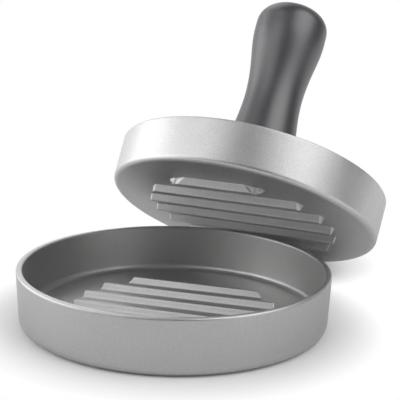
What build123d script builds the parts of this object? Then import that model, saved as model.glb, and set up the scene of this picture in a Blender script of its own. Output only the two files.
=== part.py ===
"""Burger press: a ribbed cast aluminium tray and the press that leans on its back rim.

Millimetres, +Z up. The origin is the centre of the tray's flat underside, on the table.
+X runs along the tray's ribs, and the press leans towards +Y, its lower edge on the table.
"""

import os
from math import asin, atan2, cos, degrees, hypot, radians, sin, sqrt

from build123d import *

# Ribs that mark the patty: the press's ribs lie over the gaps between the tray's
rib_pitch = 12.0
rib_field_radius = 40.0
tray_rib_count = 6
tray_rib_height = 2.5
tray_rib_foot = 3.8
tray_rib_crest = 2.2
press_rib_count = 7
press_rib_height = 2.8
press_rib_foot = 3.8
press_rib_crest = 2.0
rib_root = 0.5

# Tray: a shallow round casting, its wall drawn in a little towards the foot
tray_radius = 60.0
tray_height = 21.3
tray_wall = 2.4
tray_floor = 2.5
tray_draft = 0.9
tray_foot_round = 3.0
tray_inner_round = 2.5
rim_round = 0.9

# Press plate: a round dish with a closed, ribbed underside
slide_clearance = 0.4
plate_height = 18.5
plate_wall = 2.8
plate_floor = 4.5
plate_draft = 0.6
plate_edge_round = 2.0
plate_rim_round = 0.8
boss_radius = 18.5
boss_height = 11.0
dish_round = 3.0

# Handle: a rigid core in a soft skin, screwed to the boss by one stud
washer_thickness = 1.0
washer_hole_radius = 6.5
washer_inset = 1.0
handle_length = 87.2
handle_foot_radius = 17.2
handle_foot_slope = -0.14
handle_lower_radius = 14.2
handle_neck_radius = 12.5
handle_upper_radius = 13.9
handle_head_radius = 15.9
head_round = 8.3
head_crown = 1.6
head_side = 3.1
foot_band = 3.0
grip_wall = 2.2

# Stud and insert
stud_radius = 4.0
stud_length = 27.0
stud_bore_floor = 3.4
stud_end_gap = 0.2
insert_radius = 6.0
insert_length = 20.0
bore_run_out = 4.0
end_chamfer = 0.6

# How the press leans: the direction it leans in, its step to the side, and the seat's gap
lean_heading = 81.4
lean_side_step = -6.7
seat_gap = 0.3
lean_rib_offset = rib_pitch

# Sizes that follow from the ones above
tray_bore_radius = tray_radius - tray_wall
plate_top_radius = tray_bore_radius - slide_clearance
plate_bottom_radius = plate_top_radius - plate_draft
handle_foot = boss_height + washer_thickness
handle_head_height = handle_length - head_crown - head_round - head_side
handle_lower_height = 0.325 * handle_head_height
handle_neck_height = 0.56 * handle_head_height
handle_upper_height = 0.79 * handle_head_height

# The plate's rounded edge stands on the table and one rib's crest lies on the rim, which
# gives the lean: reach * sin(lean) - drop * cos(lean) = rise
reach = plate_bottom_radius - plate_edge_round - lean_rib_offset
drop = plate_edge_round + press_rib_height
rise = tray_height + seat_gap - plate_edge_round
lean = degrees(asin(rise / hypot(reach, drop)) + atan2(drop, reach))
tilt = radians(lean)
plate_lift = (plate_bottom_radius - plate_edge_round) * sin(tilt) + plate_edge_round * (1 - cos(tilt))
rim_to_plate = (tray_height - rim_round - plate_lift) * cos(tilt) + rim_round + press_rib_height + seat_gap
plate_reach = tray_radius - rim_round + rim_to_plate / sin(tilt)

# Frame of the press: its own axis is z, its ribs run along x
heading = radians(lean_heading)
along = Vector(cos(heading), sin(heading), 0)
side = Vector(sin(heading), -cos(heading), 0)
press_origin = along * plate_reach - side * lean_side_step + Vector(0, 0, plate_lift)
press_up = along * sin(tilt) + Vector(0, 0, cos(tilt))
press_frame = Plane(origin=press_origin, x_dir=side, z_dir=press_up)
press_section = Plane(origin=press_origin, x_dir=side, z_dir=-press_frame.y_dir)
press_rib_section = Plane(origin=press_origin, x_dir=press_frame.y_dir, z_dir=side)
press_axis = Axis(press_origin, press_up)


def round_corner(sketch, x, y, radius):
    """Rounds the corner of the active sketch that lies nearest to x, y."""
    fillet(sketch.vertices().sort_by_distance((x, y))[0], radius=radius)


def rib_row(section_plane, field_plane, count, height, foot, crest, root, down=False):
    """Straight ribs of trapezoid section side by side, trimmed by the circle of the rib field."""
    way = -1 if down else 1
    with BuildPart(mode=Mode.PRIVATE) as row:
        with BuildSketch(section_plane):
            with GridLocations(rib_pitch, 1, count, 1):
                Polygon(
                    (-foot / 2, root - way * rib_root),
                    (-foot / 2, root),
                    (-crest / 2, root + way * height),
                    (crest / 2, root + way * height),
                    (foot / 2, root),
                    (foot / 2, root - way * rib_root),
                    align=None,
                )
        extrude(amount=rib_field_radius, both=True)
        with BuildSketch(field_plane):
            Circle(rib_field_radius)
        extrude(amount=root + 2 * height, both=True, mode=Mode.INTERSECT)
    return row.part


def handle_section(inset):
    """Half section of the turned handle, taken in by inset, standing on the washer."""
    head = handle_head_radius - inset
    top = handle_foot + handle_length - inset
    crown_edge = top - head_crown
    crown_radius = (head**2 + head_crown**2) / (2 * head_crown)
    with BuildSketch(mode=Mode.PRIVATE) as half:
        with BuildLine():
            Spline(
                (handle_foot_radius - inset, handle_foot),
                (handle_lower_radius - inset, handle_foot + handle_lower_height),
                (handle_neck_radius - inset, handle_foot + handle_neck_height),
                (handle_upper_radius - inset, handle_foot + handle_upper_height),
                (head, handle_foot + handle_head_height),
                tangents=[(handle_foot_slope, 1), (0, 1)],
            )
            Line((head, handle_foot + handle_head_height), (head, crown_edge))
            ThreePointArc(
                (head, crown_edge),
                (head / 2, top - crown_radius + sqrt(crown_radius**2 - head**2 / 4)),
                (0, top),
            )
            Polyline((0, top), (0, handle_foot), (handle_foot_radius - inset, handle_foot))
        make_face()
        round_corner(half, head, crown_edge, head_round - inset)
    return half.sketch_local


with BuildPart() as base_tray:
    with BuildSketch(Plane.XZ) as tray_section:
        with BuildLine():
            Polyline(
                (0, 0),
                (tray_radius - tray_draft, 0),
                (tray_radius, tray_height),
                (tray_bore_radius, tray_height),
                (tray_bore_radius - tray_draft / 2, tray_floor),
                (0, tray_floor),
                close=True,
            )
        make_face()
        round_corner(tray_section, tray_radius - tray_draft, 0, tray_foot_round)
        round_corner(tray_section, tray_bore_radius, tray_floor, tray_inner_round)
        round_corner(tray_section, tray_bore_radius, tray_height, rim_round)
        round_corner(tray_section, tray_radius, tray_height, rim_round)
    revolve(axis=Axis.Z)
    add(rib_row(Plane.YZ, Plane.XY, tray_rib_count, tray_rib_height, tray_rib_foot, tray_rib_crest,
                tray_floor))

with BuildPart() as press_plate:
    with BuildSketch(press_section) as plate_section:
        dish_radius = plate_top_radius - plate_wall
        with BuildLine():
            Polyline(
                (0, 0),
                (plate_bottom_radius, 0),
                (plate_top_radius, plate_height),
                (dish_radius, plate_height),
                (dish_radius, plate_floor),
                (boss_radius, plate_floor),
                (boss_radius, boss_height),
                (0, boss_height),
                close=True,
            )
        make_face()
        round_corner(plate_section, plate_bottom_radius, 0, plate_edge_round)
        round_corner(plate_section, plate_top_radius, plate_height, plate_rim_round)
        round_corner(plate_section, dish_radius, plate_height, plate_rim_round)
        round_corner(plate_section, dish_radius, plate_floor, dish_round)
        round_corner(plate_section, boss_radius, plate_floor, dish_round)
        round_corner(plate_section, boss_radius, boss_height, plate_rim_round)
    revolve(axis=press_axis)
    add(rib_row(press_rib_section, press_frame, press_rib_count, press_rib_height, press_rib_foot,
                press_rib_crest, 0, down=True))
    with BuildSketch(press_frame.offset(stud_bore_floor)):
        Circle(stud_radius)
    extrude(amount=boss_height, mode=Mode.SUBTRACT)

with BuildPart() as seal_washer:
    with BuildSketch(press_frame.offset(boss_height)):
        Circle(handle_foot_radius - washer_inset)
        Circle(washer_hole_radius, mode=Mode.SUBTRACT)
    extrude(amount=washer_thickness)

with BuildPart() as handle_core:
    with BuildSketch(press_section):
        add(handle_section(0))
        with Locations((0, handle_foot)):
            Rectangle(2 * tray_radius, foot_band, align=(Align.CENTER, Align.MIN), mode=Mode.INTERSECT)
        add(handle_section(grip_wall))
        for radius, depth in ((insert_radius, insert_length), (stud_radius, insert_length + bore_run_out)):
            with Locations((0, handle_foot)):
                Rectangle(2 * radius, depth, align=(Align.CENTER, Align.MIN), mode=Mode.SUBTRACT)
    revolve(axis=press_axis)

with BuildPart() as handle_grip:
    with BuildSketch(press_section):
        add(handle_section(0))
        add(handle_section(grip_wall), mode=Mode.SUBTRACT)
        with Locations((0, handle_foot)):
            Rectangle(2 * tray_radius, foot_band, align=(Align.CENTER, Align.MIN), mode=Mode.SUBTRACT)
    revolve(axis=press_axis)

with BuildPart() as handle_insert:
    with BuildSketch(press_frame.offset(handle_foot)):
        Circle(insert_radius)
        Circle(stud_radius, mode=Mode.SUBTRACT)
    extrude(amount=insert_length)

with BuildPart() as handle_stud:
    with BuildSketch(press_frame.offset(stud_bore_floor + stud_end_gap)):
        Circle(stud_radius)
    extrude(amount=stud_length)
    chamfer(handle_stud.edges().filter_by(GeomType.CIRCLE), length=end_chamfer)

base_tray.part.label = "base_tray"
press_plate.part.label = "press_plate"
seal_washer.part.label = "seal_washer"
handle_core.part.label = "handle_core"
handle_grip.part.label = "handle_grip"
handle_insert.part.label = "handle_insert"
handle_stud.part.label = "handle_stud"

os.makedirs("parts", exist_ok=True)
export_step(base_tray.part, "parts/base_tray.step")
export_step(press_plate.part, "parts/press_plate.step")
export_step(seal_washer.part, "parts/seal_washer.step")
export_step(handle_core.part, "parts/handle_core.step")
export_step(handle_grip.part, "parts/handle_grip.step")
export_step(handle_insert.part, "parts/handle_insert.step")
export_step(handle_stud.part, "parts/handle_stud.step")

print(f"lean {lean:.2f} degrees, plate centre {tuple(round(v, 2) for v in press_origin)}")
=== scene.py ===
"""Burger press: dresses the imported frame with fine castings, a soft dark grip and studio light."""

from math import asin, atan2, cos, hypot, pi, radians, sin, sqrt, tan

import bmesh
import bpy
from mathutils import Matrix, Vector


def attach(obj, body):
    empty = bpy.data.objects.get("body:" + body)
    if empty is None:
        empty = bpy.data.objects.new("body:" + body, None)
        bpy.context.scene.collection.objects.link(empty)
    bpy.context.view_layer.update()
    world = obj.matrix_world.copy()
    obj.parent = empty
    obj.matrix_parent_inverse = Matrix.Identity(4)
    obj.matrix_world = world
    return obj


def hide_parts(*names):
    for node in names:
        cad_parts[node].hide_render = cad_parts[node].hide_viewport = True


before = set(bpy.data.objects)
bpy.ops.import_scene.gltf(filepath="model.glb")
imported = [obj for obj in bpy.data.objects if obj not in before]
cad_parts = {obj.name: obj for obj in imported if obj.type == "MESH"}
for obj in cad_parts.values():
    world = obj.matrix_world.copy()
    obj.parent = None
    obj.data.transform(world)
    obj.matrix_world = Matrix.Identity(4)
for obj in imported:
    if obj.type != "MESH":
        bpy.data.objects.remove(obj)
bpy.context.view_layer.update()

MM = 0.001

# Sizes in millimetres. They are the part's own, but for the ribs' widths, which are set for the
# light on their flanks.
RIB_PITCH, RIB_FIELD = 12.0, 40.0
TRAY_R, TRAY_H, TRAY_WALL, TRAY_FLOOR, TRAY_DRAFT = 60.0, 21.3, 2.4, 2.5, 0.9
TRAY_RIBS = dict(count=6, height=2.5, foot=4.5, crest=1.6, crest_round=0.9, foot_round=1.3)
PRESS_RIBS = dict(count=7, height=2.8, foot=3.8, crest=1.4, crest_round=0.9, foot_round=0.5)
TRAY_FOOT_ROUND, TRAY_INNER_ROUND, RIM_ROUND = 3.0, 2.5, 0.9
PLATE_TOP_R, PLATE_BOTTOM_R, PLATE_H, PLATE_WALL, PLATE_FLOOR = 57.2, 56.6, 18.5, 2.8, 4.5
EDGE_ROUND, PLATE_RIM_ROUND, DISH_ROUND, BORE_ROUND = 2.0, 0.8, 3.0, 0.2
BOSS_R, BOSS_H, STUD_R, STUD_BORE_FLOOR = 18.5, 11.0, 4.0, 3.4
HANDLE_FOOT, HANDLE_LENGTH, FOOT_BAND = 12.0, 87.2, 3.0
HANDLE_SIDE = [(17.2, 0), (14.2, 24.11), (12.5, 41.55), (13.9, 58.62), (15.9, 74.2)]
HANDLE_FOOT_SLOPE, HEAD_ROUND, HEAD_CROWN, GRIP_WALL = -0.14, 8.3, 1.6, 2.2
LEAN_HEADING, LEAN_SIDE_STEP, SEAT_GAP = 81.4, -6.7, 0.3


def press_place():
    """The leaning press's frame, found as in the part: one rib on the rim, the edge on the table."""
    reach = PLATE_BOTTOM_R - EDGE_ROUND - RIB_PITCH
    drop = EDGE_ROUND + PRESS_RIBS["height"]
    tilt = asin((TRAY_H + SEAT_GAP - EDGE_ROUND) / hypot(reach, drop)) + atan2(drop, reach)
    lift = (PLATE_BOTTOM_R - EDGE_ROUND) * sin(tilt) + EDGE_ROUND * (1 - cos(tilt))
    over = (TRAY_H - RIM_ROUND - lift) * cos(tilt) + RIM_ROUND + PRESS_RIBS["height"] + SEAT_GAP
    heading = radians(LEAN_HEADING)
    along = Vector((cos(heading), sin(heading), 0))
    side = Vector((sin(heading), -cos(heading), 0))
    away = along * (TRAY_R - RIM_ROUND + over / sin(tilt)) - side * LEAN_SIDE_STEP
    origin = away + Vector((0, 0, lift))
    up = along * sin(tilt) + Vector((0, 0, cos(tilt)))
    turn = Matrix((side, up.cross(side), up)).transposed().to_4x4()
    return Matrix.Translation(origin * MM) @ turn


PRESS = press_place()


# Turned shapes

def rounded_outline(corners, steps=7, ease=0.25):
    """Points of an outline whose corners (radius, height, rounding) are arcs, with a loop beside each."""
    points = []
    for i, (x, y, rounding) in enumerate(corners):
        here = Vector((x, y))
        if not rounding or i in (0, len(corners) - 1):
            points.append(here)
            continue
        back = (Vector(corners[i - 1][:2]) - here).normalized()
        on = (Vector(corners[i + 1][:2]) - here).normalized()
        half = back.angle(on) / 2
        run = rounding / tan(half)
        centre = here + (back + on).normalized() * (rounding / sin(half))
        start, end = here + back * run, here + on * run
        points.append(start + back * ease)
        a, b = start - centre, end - centre
        turn = a.angle_signed(b)
        for k in range(steps + 1):
            arm = a.copy()
            arm.rotate(Matrix.Rotation(-turn * k / steps, 2))
            points.append(centre + arm)
        points.append(end + on * ease)
    return [(p.x, p.y) for p in points]


def smooth_side(knots, start_slope, end_slope, step=1.2, sweeps=60):
    """Points (radius, height) of a smooth curve through the knots; whose slopes settle in a few sweeps."""
    n = len(knots)
    z = [k[1] for k in knots]
    r = [k[0] for k in knots]
    slope = [start_slope] + [0.0] * (n - 2) + [end_slope]
    for _ in range(sweeps):
        for i in range(1, n - 1):
            a, b = z[i] - z[i - 1], z[i + 1] - z[i]
            want = 3 * ((r[i] - r[i - 1]) / a**2 + (r[i + 1] - r[i]) / b**2)
            slope[i] = (want - slope[i - 1] / a - slope[i + 1] / b) / (2 / a + 2 / b)
    points = []
    for i in range(n - 1):
        span = z[i + 1] - z[i]
        count = max(2, int(span / step))
        for k in range(count):
            s = k / count
            points.append((
                (1 + 2 * s) * (1 - s) ** 2 * r[i] + s * (1 - s) ** 2 * span * slope[i]
                + s * s * (3 - 2 * s) * r[i + 1] + s * s * (s - 1) * span * slope[i + 1],
                z[i] + span * s))
    points.append((r[-1], z[-1]))
    return points


def turned(name, outline, place=Matrix.Identity(4), around=288):
    """A closed solid of revolution from an outline that runs anticlockwise, (radius, height) in mm."""
    shape = bmesh.new()
    rings = []
    for r, z in outline:
        if r < 1e-6:
            rings.append([shape.verts.new((0, 0, z * MM))])
        else:
            angles = [2 * pi * k / around for k in range(around)]
            rings.append([shape.verts.new((r * MM * cos(a), r * MM * sin(a), z * MM)) for a in angles])
    closed = len(rings[0]) > 1
    pairs = list(zip(rings, rings[1:])) + ([(rings[-1], rings[0])] if closed else [])
    for low, high in pairs:
        for k in range(around):
            j = (k + 1) % around
            if len(low) == 1:
                shape.faces.new((low[0], high[j], high[k]))
            elif len(high) == 1:
                shape.faces.new((low[k], low[j], high[0]))
            else:
                shape.faces.new((low[k], low[j], high[j], high[k]))
    bmesh.ops.recalc_face_normals(shape, faces=shape.faces)
    mesh = bpy.data.meshes.new(name)
    shape.to_mesh(mesh)
    shape.free()
    mesh.transform(place)
    mesh.shade_smooth()
    piece = bpy.data.objects.new(name, mesh)
    bpy.context.scene.collection.objects.link(piece)
    return piece


# Geometry Nodes: the rib field

# Points along and across the sheet of one rib, and how far it runs, in metres, past the rib's foot,
# past the field's circle and into the casting
SHEET_POINTS = (65, 49)
FOOT_MARGIN, END_MARGIN, SUNK = 0.0007, 0.0008, 0.00004
# rise of a rib's end over its run
END_STEEPNESS = 14.0

class Wiring:
    """Short names for adding and joining nodes in one tree."""

    def __init__(self, tree):
        self.tree = tree

    def node(self, kind, **settings):
        made = self.tree.nodes.new(kind)
        for key, value in settings.items():
            setattr(made, key, value)
        return made

    def join(self, source, socket):
        if isinstance(source, (int, float, tuple)):
            socket.default_value = source
        else:
            self.tree.links.new(source, socket)

    def math(self, operation, *inputs):
        made = self.node("ShaderNodeMath", operation=operation)
        for value, socket in zip(inputs, made.inputs):
            self.join(value, socket)
        return made.outputs[0]


def rib_field_tree():
    """A row of ribs, each trimmed by the circle of the field, with soft crests and feet."""
    tree = bpy.data.node_groups.new("rib_field", "GeometryNodeTree")
    face = tree.interface
    face.new_socket("Geometry", in_out="INPUT", socket_type="NodeSocketGeometry")
    face.new_socket("Rib count", in_out="INPUT", socket_type="NodeSocketInt")
    for label in ("Pitch", "Field radius", "Rib height", "Foot width", "Crest width", "Base level",
                  "End steepness", "Crest softness", "Foot softness"):
        face.new_socket(label, in_out="INPUT", socket_type="NodeSocketFloat")
    face.new_socket("Finish", in_out="INPUT", socket_type="NodeSocketMaterial")
    face.new_socket("Geometry", in_out="OUTPUT", socket_type="NodeSocketGeometry")
    w = Wiring(tree)
    given = w.node("NodeGroupInput").outputs
    m = w.math

    # one flat sheet per rib, in units of -1 to 1 along and across
    sheet = w.node("GeometryNodeMeshGrid")
    for socket, value in zip(sheet.inputs, (2.0, 2.0, *SHEET_POINTS)):
        socket.default_value = value
    span = m("MULTIPLY", given["Pitch"], m("SUBTRACT", given["Rib count"], 1))
    row = w.node("GeometryNodeMeshLine", mode="OFFSET")
    w.join(given["Rib count"], row.inputs["Count"])
    step = w.node("ShaderNodeCombineXYZ")
    w.join(0.0, step.inputs["X"])
    w.join(0.0, step.inputs["Y"])
    w.join(1.0, step.inputs["Z"])
    w.join(step.outputs[0], row.inputs["Offset"])
    index = w.node("GeometryNodeInputIndex").outputs[0]
    place = m("SUBTRACT", m("MULTIPLY", index, given["Pitch"]), m("MULTIPLY", span, 0.5))
    keep = w.node("GeometryNodeStoreNamedAttribute", data_type="FLOAT", domain="POINT")
    w.join(row.outputs[0], keep.inputs["Geometry"])
    keep.inputs["Name"].default_value = "rib_place"
    w.join(place, keep.inputs["Value"])
    copies = w.node("GeometryNodeInstanceOnPoints")
    w.join(keep.outputs[0], copies.inputs["Points"])
    w.join(sheet.outputs[0], copies.inputs["Instance"])
    whole = w.node("GeometryNodeRealizeInstances")
    w.join(copies.outputs[0], whole.inputs["Geometry"])

    # across: from the sheet's y; along: denser towards the ends, out to the field's circle
    at = w.node("ShaderNodeSeparateXYZ")
    w.join(w.node("GeometryNodeInputPosition").outputs[0], at.inputs[0])
    named = w.node("GeometryNodeInputNamedAttribute", data_type="FLOAT")
    named.inputs["Name"].default_value = "rib_place"
    rib = named.outputs[0]
    across = m("MULTIPLY", at.outputs["Y"], m("MULTIPLY_ADD", given["Foot width"], 0.5, FOOT_MARGIN))
    y = m("ADD", rib, across)
    left = m("SUBTRACT", m("POWER", given["Field radius"], 2.0), m("POWER", y, 2.0))
    chord = m("SQRT", m("MAXIMUM", left, 0.000001))
    x = m("MULTIPLY", m("SINE", m("MULTIPLY", at.outputs["X"], pi / 2)), m("ADD", chord, END_MARGIN))

    # height: flanks rise from the foot, meet the crest softly and fall steeply at the circle
    run = m("MULTIPLY", m("SUBTRACT", given["Foot width"], given["Crest width"]), 0.5)
    slope = m("DIVIDE", given["Rib height"], run)
    inside = m("SUBTRACT", m("MULTIPLY", given["Foot width"], 0.5), m("ABSOLUTE", across))
    flank = m("MULTIPLY", inside, slope)
    end = m("MULTIPLY", m("SUBTRACT", chord, m("ABSOLUTE", x)), given["End steepness"])
    top = m("SMOOTH_MIN", flank, given["Rib height"], given["Crest softness"])
    top = m("SMOOTH_MIN", top, end, given["Crest softness"])
    rise = m("SMOOTH_MAX", top, 0.0, given["Foot softness"])
    z = m("ADD", m("ADD", given["Base level"], rise), -SUNK)
    spot = w.node("ShaderNodeCombineXYZ")
    for value, socket in zip((x, y, z), spot.inputs):
        w.join(value, socket)
    shaped = w.node("GeometryNodeSetPosition")
    w.join(whole.outputs[0], shaped.inputs["Geometry"])
    w.join(spot.outputs[0], shaped.inputs["Position"])
    soft = w.node("GeometryNodeSetShadeSmooth")
    w.join(shaped.outputs[0], soft.inputs[0])
    real = w.node("GeometryNodeRealizeInstances")
    w.join(soft.outputs[0], real.inputs["Geometry"])
    coat = w.node("GeometryNodeSetMaterial")
    w.join(real.outputs[0], coat.inputs["Geometry"])
    w.join(given["Finish"], coat.inputs["Material"])
    w.join(coat.outputs[0], w.node("NodeGroupOutput").inputs[0])
    return tree


def rib_field(name, tree, sizes, level, finish, place=Matrix.Identity(4)):
    """The ribs of one casting as a plain mesh, each with a flat closed underside."""
    holder = bpy.data.objects.new(name + "_field", bpy.data.meshes.new(name + "_field"))
    bpy.context.scene.collection.objects.link(holder)
    rows = holder.modifiers.new("rib_field", "NODES")
    rows.node_group = tree
    values = {
        "Rib count": sizes["count"],
        "Pitch": RIB_PITCH * MM,
        "Field radius": RIB_FIELD * MM,
        "Rib height": sizes["height"] * MM,
        "Foot width": sizes["foot"] * MM,
        "Crest width": sizes["crest"] * MM,
        "Base level": level * MM,
        "End steepness": END_STEEPNESS,
        "Crest softness": sizes["crest_round"] * MM,
        "Foot softness": sizes["foot_round"] * MM,
        "Finish": finish,
    }
    for item in tree.interface.items_tree:
        if item.in_out == "INPUT" and item.name in values:
            rows[item.identifier] = values[item.name]
    bpy.context.view_layer.update()
    evaluated = holder.evaluated_get(bpy.context.evaluated_depsgraph_get())
    mesh = bpy.data.meshes.new_from_object(evaluated)
    bpy.data.objects.remove(holder)
    shape = bmesh.new()
    shape.from_mesh(mesh)
    edge = [e for e in shape.edges if e.is_boundary]
    bmesh.ops.holes_fill(shape, edges=edge, sides=0)
    bmesh.ops.recalc_face_normals(shape, faces=shape.faces)
    shape.to_mesh(mesh)
    shape.free()
    mesh.name = name
    mesh.transform(place)
    mesh.shade_smooth()
    piece = bpy.data.objects.new(name, mesh)
    bpy.context.scene.collection.objects.link(piece)
    return piece


# Finishes

def shader_group(name, inputs, outputs):
    group = bpy.data.node_groups.new(name, "ShaderNodeTree")
    for label, kind, value in inputs:
        socket = group.interface.new_socket(label, in_out="INPUT", socket_type=kind)
        if value is not None:
            socket.default_value = value
    for label, kind in outputs:
        group.interface.new_socket(label, in_out="OUTPUT", socket_type=kind)
    w = Wiring(group)
    return group, w, w.node("NodeGroupInput").outputs, w.node("NodeGroupOutput").inputs


def blasted_grain_group():
    """The fine speckle of a bead-blasted or moulded surface: a height, a tone mask and a broad mottle."""
    group, w, given, put = shader_group(
        "blasted_grain",
        [("Grain size", "NodeSocketFloat", 0.0005), ("Mottle size", "NodeSocketFloat", 0.006)],
        [("Height", "NodeSocketFloat"), ("Tone", "NodeSocketFloat"), ("Mottle", "NodeSocketFloat")])
    spot = w.node("ShaderNodeTexCoord").outputs["Object"]
    fine = w.node("ShaderNodeTexNoise", noise_dimensions="3D")
    w.join(spot, fine.inputs["Vector"])
    w.join(w.math("DIVIDE", 1.0, given["Grain size"]), fine.inputs["Scale"])
    fine.inputs["Detail"].default_value = 2.0
    fine.inputs["Roughness"].default_value = 0.6
    pits = w.node("ShaderNodeTexVoronoi", feature="SMOOTH_F1")
    w.join(spot, pits.inputs["Vector"])
    w.join(w.math("DIVIDE", 0.7, given["Grain size"]), pits.inputs["Scale"])
    broad = w.node("ShaderNodeTexNoise", noise_dimensions="3D")
    w.join(spot, broad.inputs["Vector"])
    w.join(w.math("DIVIDE", 1.0, given["Mottle size"]), broad.inputs["Scale"])
    broad.inputs["Detail"].default_value = 3.0
    w.join(w.math("ADD", fine.outputs[0], w.math("MULTIPLY", pits.outputs["Distance"], 0.6)), put["Height"])
    w.join(fine.outputs[0], put["Tone"])
    w.join(broad.outputs[0], put["Mottle"])
    return group


def plain_finish(name, rough, metallic=0.0, base=None, **constant):
    """A material with its Principled shader; constants go straight on the shader's own sockets."""
    made = bpy.data.materials.new(name)
    made.use_nodes = True
    w = Wiring(made.node_tree)
    shader = made.node_tree.nodes["Principled BSDF"]
    shader.inputs["Roughness"].default_value = rough
    shader.inputs["Metallic"].default_value = metallic
    if base:
        shader.inputs["Base Color"].default_value = (*base, 1)
    for label, value in constant.items():
        shader.inputs[label.replace("_", " ")].default_value = value
    return made, w, shader


def ramp(w, source, stops, socket):
    """Runs a mask through a colour ramp of (place, colour) stops into a socket."""
    band = w.node("ShaderNodeValToRGB")
    while len(band.color_ramp.elements) < len(stops):
        band.color_ramp.elements.new(0.5)
    for mark, (place, colour) in zip(band.color_ramp.elements, stops):
        mark.position = place
        mark.color = (*colour, 1)
    w.join(source, band.inputs[0])
    w.join(band.outputs[0], socket)


def grained(name, grain, rough, dark, light, grain_size, depth, mottle_size=0.006, spread=0.05, **more):
    """A material whose colour, roughness and bump follow the grain group."""
    made, w, shader = plain_finish(name, rough, **more)
    speckle = w.node("ShaderNodeGroup")
    speckle.node_tree = grain
    speckle.inputs["Grain size"].default_value = grain_size
    speckle.inputs["Mottle size"].default_value = mottle_size
    ramp(w, speckle.outputs["Tone"], [(0.35, dark), (0.65, light)], shader.inputs["Base Color"])
    roughness = w.math("MULTIPLY_ADD", speckle.outputs["Mottle"], spread * 2, rough - spread)
    w.join(roughness, shader.inputs["Roughness"])
    bump = w.node("ShaderNodeBump")
    bump.inputs["Strength"].default_value = 1.0
    bump.inputs["Distance"].default_value = depth
    w.join(speckle.outputs["Height"], bump.inputs["Height"])
    w.join(bump.outputs[0], shader.inputs["Normal"])
    return made


grain = blasted_grain_group()
# Each finish: roughness, darker and lighter colour, then grain size and bump depth in metres
cast_tray = grained("cast_aluminium_tray", grain, 0.44, (0.52, 0.52, 0.52), (0.58, 0.58, 0.575),
                    0.0005, 0.00002, metallic=1.0)
cast_plate = grained("cast_aluminium_plate", grain, 0.44, (0.56, 0.56, 0.56), (0.65, 0.65, 0.645),
                     0.0005, 0.00003, metallic=1.0)
soft_grip = grained("soft_grip", grain, 0.40, (0.036, 0.038, 0.044), (0.045, 0.047, 0.054),
                    0.0003, 0.000008, spread=0.02, Specular_IOR_Level=0.95, IOR=1.65)
moulded_core = grained("moulded_core", grain, 0.5, (0.05, 0.052, 0.058), (0.06, 0.062, 0.07),
                       0.0004, 0.00001)
seal_rubber = grained("seal_rubber", grain, 0.6, (0.04, 0.04, 0.042), (0.05, 0.05, 0.052),
                      0.0004, 0.00001)
turned_brass = grained("turned_brass", grain, 0.3, (0.66, 0.5, 0.25), (0.76, 0.6, 0.32),
                       0.0004, 0.000004, metallic=1.0)
plated_steel = grained("plated_steel", grain, 0.3, (0.5, 0.5, 0.5), (0.58, 0.58, 0.57),
                       0.0004, 0.000004, metallic=1.0)


def dress(piece, material):
    piece.data.materials.clear()
    piece.data.materials.append(material)
    return piece


# Tray casting

tray_outline = rounded_outline([
    (0, 0, 0),
    (TRAY_R - TRAY_DRAFT, 0, TRAY_FOOT_ROUND),
    (TRAY_R, TRAY_H, RIM_ROUND),
    (TRAY_R - TRAY_WALL, TRAY_H, RIM_ROUND),
    (TRAY_R - TRAY_WALL - TRAY_DRAFT / 2, TRAY_FLOOR, TRAY_INNER_ROUND),
    (0, TRAY_FLOOR, 0),
])
tray_casting = dress(turned("tray_casting", tray_outline), cast_tray)
rib_tree = rib_field_tree()
tray_ribs = rib_field("tray_ribs", rib_tree, TRAY_RIBS, TRAY_FLOOR, cast_tray)

# Press plate casting
dish_r = PLATE_TOP_R - PLATE_WALL
plate_outline = rounded_outline([
    (0, 0, 0),
    (PLATE_BOTTOM_R, 0, EDGE_ROUND),
    (PLATE_TOP_R, PLATE_H, PLATE_RIM_ROUND),
    (dish_r, PLATE_H, PLATE_RIM_ROUND),
    (dish_r, PLATE_FLOOR, DISH_ROUND),
    (BOSS_R, PLATE_FLOOR, DISH_ROUND),
    (BOSS_R, BOSS_H, PLATE_RIM_ROUND),
    (STUD_R, BOSS_H, BORE_ROUND),
    (STUD_R, STUD_BORE_FLOOR, BORE_ROUND),
    (0, STUD_BORE_FLOOR, 0),
])
plate_casting = dress(turned("plate_casting", plate_outline, PRESS), cast_plate)
upside_down = Matrix.Rotation(pi, 4, "X")
press_ribs = rib_field("press_ribs", rib_tree, PRESS_RIBS, 0.0, cast_plate, PRESS @ upside_down)

# Handle
SKIN_LOW = HANDLE_FOOT + FOOT_BAND + 0.1
CROWN_STEPS = 10
handle_side = [(r, HANDLE_FOOT + z) for r, z in smooth_side(HANDLE_SIDE, HANDLE_FOOT_SLOPE, 0.0)]


def handle_outline(inset):
    """The handle's side and crowned head, taken in by inset, from the skin's lower edge to the axis."""
    top = HANDLE_FOOT + HANDLE_LENGTH - inset
    head = HANDLE_SIDE[-1][0] - inset
    edge = top - HEAD_CROWN
    crown_r = (head**2 + HEAD_CROWN**2) / (2 * HEAD_CROWN)
    start = next((r - inset, SKIN_LOW) for r, z in handle_side if z >= SKIN_LOW)
    body = [(r - inset, z) for r, z in handle_side if z > SKIN_LOW + 0.3]
    corner = rounded_outline([(head, handle_side[-1][1], 0), (head, edge, HEAD_ROUND - inset), (0, top, 0)],
                             steps=14, ease=0.01)[1:-1]
    reach = [head * (1 - k / CROWN_STEPS) for k in range(CROWN_STEPS + 1)]
    crown = [(r, top - crown_r + sqrt(crown_r**2 - r**2)) for r in reach if r < corner[-1][0] - 0.5]
    return [start] + body + corner + crown


skin_outline = handle_outline(0.0) + handle_outline(GRIP_WALL)[::-1][1:]
grip_skin = dress(turned("grip_skin", skin_outline, PRESS, around=160), soft_grip)
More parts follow.
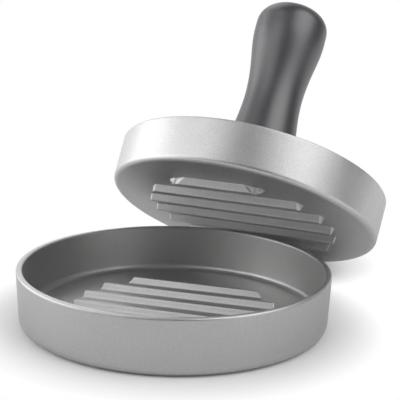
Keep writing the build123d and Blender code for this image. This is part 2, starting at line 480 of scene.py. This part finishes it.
# radius, height over the foot, rounding: the foot band, the waisted post and its bore
CORE_BORE = 4.2
CORE_SIDE = [
    (CORE_BORE, 0, 0.1),
    (17.15, 0, 0.4),
    (16.75, FOOT_BAND, 0.4),
    (14.2, FOOT_BAND, 0.1),
    (11.0, 30, 0.1),
    (10.0, 42, 0.1),
    (11.2, 58, 0.1),
    (12.5, 78, 3.0),
    (0, 80, 0),
]
core_outline = rounded_outline([(r, HANDLE_FOOT + z, rounding) for r, z, rounding in CORE_SIDE])
# the last corner only rounds the post's end; the outline stops at the bore
core_outline[-1] = (CORE_BORE, HANDLE_FOOT + 79)
core_foot = dress(turned("core_foot", core_outline, PRESS, around=160), moulded_core)

dress(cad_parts["seal_washer"], seal_rubber)
dress(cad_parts["handle_insert"], turned_brass)
dress(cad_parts["handle_stud"], plated_steel)

for piece, body, node in (
    (tray_casting, "tray", "base_tray"),
    (plate_casting, "press", "press_plate"),
    (grip_skin, "press", "handle_grip"),
    (core_foot, "press", "handle_core"),
):
    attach(piece, body)
    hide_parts(node)
for piece, body, node in ((tray_ribs, "tray", "base_tray"), (press_ribs, "press", "press_plate")):
    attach(piece, body)


# Studio

# The camera, from a fit of the tray's rim, foot and ribs in the photograph: millimetres, and pixels
# for the focal length
TURN, PITCH, ROLL = radians(15.83), radians(13.3), radians(1.58)
FOCAL, PICTURE_WIDTH, SENSOR = 1039.7, 400, 36.0
DISTANCE, SHIFT_X, SHIFT_Y, AIM_HEIGHT = 400.4, 9.03, 34.34, 12.0

# The room's own light, and where the metal begins to see and fully sees the white backdrop, as the
# cosine from straight behind the object
ROOM = 0.06
BACKDROP_FROM, BACKDROP_FULL = 0.45, 0.85

# The shadow on the table fades to white between these distances, in metres from the tray's axis.
# In what the metal mirrors it fades further out, and to the camera its darkest part keeps a little
# white. CONTACT_SHADE moves the same fade in round the point where the press stands.
SHADE_FROM, SHADE_TO, MIRROR_SHADE_TO, FLOOR_LIFT = 0.057, 0.080, 0.30, 0.05
CONTACT_SHADE = 0.035
PLATE_CONTACT = PRESS @ Vector((0, (PLATE_BOTTOM_R - EDGE_ROUND) * MM, 0))
TABLE_HALF, TABLE_DROP = 6, 0.0001

# name, bearing from the camera's side and height in degrees, size in metres, watts
LAMPS = [
    ("left_low", -99, 18, (1.1, 0.6), 4.4),
    ("front_left_high", -54, 46, (0.6, 0.6), 1.7),
    ("left_high", -112, 50, (0.6, 0.6), 0.3),
    ("back_left_high", -155, 50, (0.6, 0.6), 1.1),
    ("right_high", 65, 50, (0.8, 0.7), 4.1),
    ("right_low", 55, 15, (0.5, 0.42), 0.6),
]
LAMP_DISTANCE, LAMP_AIM = 0.9, Vector((0.0, 0.02, 0.02))


def share(w, value, start, end):
    """0 where value is up to start, 1 from end on."""
    band = w.node("ShaderNodeMapRange")
    for label, number in (("From Min", start), ("From Max", end), ("To Min", 0.0), ("To Max", 1.0)):
        band.inputs[label].default_value = number
    w.join(value, band.inputs["Value"])
    return band.outputs[0]


def either(w, choice, first, second):
    """A shader that goes from first to second as choice goes from 0 to 1."""
    mix = w.node("ShaderNodeMixShader")
    for source, socket in zip((choice, first, second), mix.inputs):
        w.join(source, socket)
    return mix.outputs[0]


def mirrored_or_through(w, path):
    """1 for rays that the metal mirrors, or that a clear piece would let through."""
    return w.math("MAXIMUM", path["Is Glossy Ray"], path["Is Transmission Ray"])


def table_finish():
    """A white table that keeps the object's shadow close around it and is plain white further off."""
    made, w, shader = plain_finish("table_white", 0.9, base=(0.85, 0.85, 0.85), Specular_IOR_Level=0.1)
    path = w.node("ShaderNodeLightPath").outputs
    spot = w.node("ShaderNodeTexCoord").outputs["Object"]
    from_tray = w.node("ShaderNodeVectorMath", operation="LENGTH")
    w.join(spot, from_tray.inputs[0])
    from_edge = w.node("ShaderNodeVectorMath", operation="DISTANCE")
    w.join(spot, from_edge.inputs[0])
    from_edge.inputs[1].default_value = PLATE_CONTACT
    past_edge = w.math("ADD", from_edge.outputs["Value"], CONTACT_SHADE)
    nearest = w.math("MINIMUM", from_tray.outputs["Value"], past_edge)
    seen = w.math("MAXIMUM", share(w, nearest, SHADE_FROM, SHADE_TO), FLOOR_LIFT)
    mirrored = share(w, nearest, SHADE_FROM, MIRROR_SHADE_TO)
    more_seen = w.math("MULTIPLY", path["Is Camera Ray"], w.math("SUBTRACT", seen, mirrored))
    whiteness = w.math("ADD", mirrored, more_seen)
    white = w.node("ShaderNodeEmission")
    white.inputs["Color"].default_value = (1, 1, 1, 1)
    faded = either(w, whiteness, shader.outputs[0], white.outputs[0])
    looked_at = w.math("MAXIMUM", path["Is Camera Ray"], mirrored_or_through(w, path))
    shown = either(w, looked_at, shader.outputs[0], faded)
    w.join(shown, made.node_tree.nodes["Material Output"].inputs[0])
    return made


def studio_world():
    """A dim room with a white backdrop behind the object, for the camera and for the metal."""
    world = bpy.data.worlds.new("studio")
    world.use_nodes = True
    w = Wiring(world.node_tree)
    room = world.node_tree.nodes["Background"]
    room.inputs["Color"].default_value = (1, 1, 1, 1)
    room.inputs["Strength"].default_value = ROOM
    white = w.node("ShaderNodeBackground")
    white.inputs["Color"].default_value = (1, 1, 1, 1)
    path = w.node("ShaderNodeLightPath").outputs
    behind = w.node("ShaderNodeVectorMath", operation="DOT_PRODUCT")
    w.join(w.node("ShaderNodeTexCoord").outputs["Generated"], behind.inputs[0])
    behind.inputs[1].default_value = (-sin(TURN), cos(TURN), 0)
    backdrop = share(w, behind.outputs["Value"], BACKDROP_FROM, BACKDROP_FULL)
    shown = w.math("MULTIPLY", mirrored_or_through(w, path), backdrop)
    seen = either(w, w.math("MAXIMUM", path["Is Camera Ray"], shown), room.outputs[0], white.outputs[0])
    w.join(seen, world.node_tree.nodes["World Output"].inputs[0])
    return world


def softbox(name, toward, height, size, power):
    """An area lamp; toward is level and points from the object to the lamp, height is in degrees."""
    lamp = bpy.data.lights.new(name, "AREA")
    lamp.shape = "RECTANGLE"
    lamp.size, lamp.size_y = size
    lamp.energy = power
    holder = bpy.data.objects.new(name, lamp)
    bpy.context.scene.collection.objects.link(holder)
    away = toward * cos(radians(height)) + Vector((0, 0, sin(radians(height))))
    holder.location = LAMP_AIM + away * LAMP_DISTANCE
    holder.rotation_euler = (-away).to_track_quat("-Z", "Y").to_euler()
    return holder


table_mesh = bpy.data.meshes.new("table_top")
corners = [(x * TABLE_HALF, y * TABLE_HALF, 0) for x, y in ((-1, -1), (1, -1), (1, 1), (-1, 1))]
table_mesh.from_pydata(corners, [], [(0, 1, 2, 3)])
table_top = bpy.data.objects.new("table_top", table_mesh)
table_top.location.z = -TABLE_DROP
bpy.context.scene.collection.objects.link(table_top)
table_mesh.materials.append(table_finish())
bpy.context.scene.world = studio_world()

spin = Matrix.Rotation(TURN, 3, "Z")
right = Vector((1, 0, 0))
look = Vector((0, cos(PITCH), -sin(PITCH)))
above = right.cross(look)
eye = spin @ (-look * DISTANCE + right * SHIFT_X + above * SHIFT_Y + Vector((0, 0, AIM_HEIGHT)))
camera_x = spin @ (right * cos(ROLL) + above * sin(ROLL))
camera_y = spin @ (above * cos(ROLL) - right * sin(ROLL))
camera_z = spin @ -look
aimed = Matrix((camera_x, camera_y, camera_z)).transposed().to_4x4()
camera = bpy.data.objects.new("camera", bpy.data.cameras.new("camera"))
bpy.context.scene.collection.objects.link(camera)
camera.matrix_world = Matrix.Translation(eye * MM) @ aimed
camera.data.sensor_fit = "HORIZONTAL"
camera.data.sensor_width = SENSOR
camera.data.lens = FOCAL * SENSOR / PICTURE_WIDTH
camera.data.clip_start = 0.01
bpy.context.scene.camera = camera

for name, bearing, height, size, power in LAMPS:
    angle = radians(bearing)
    softbox(name, spin @ Vector((sin(angle), -cos(angle), 0)), height, size, power)

bpy.context.scene.view_settings.view_transform = "Standard"
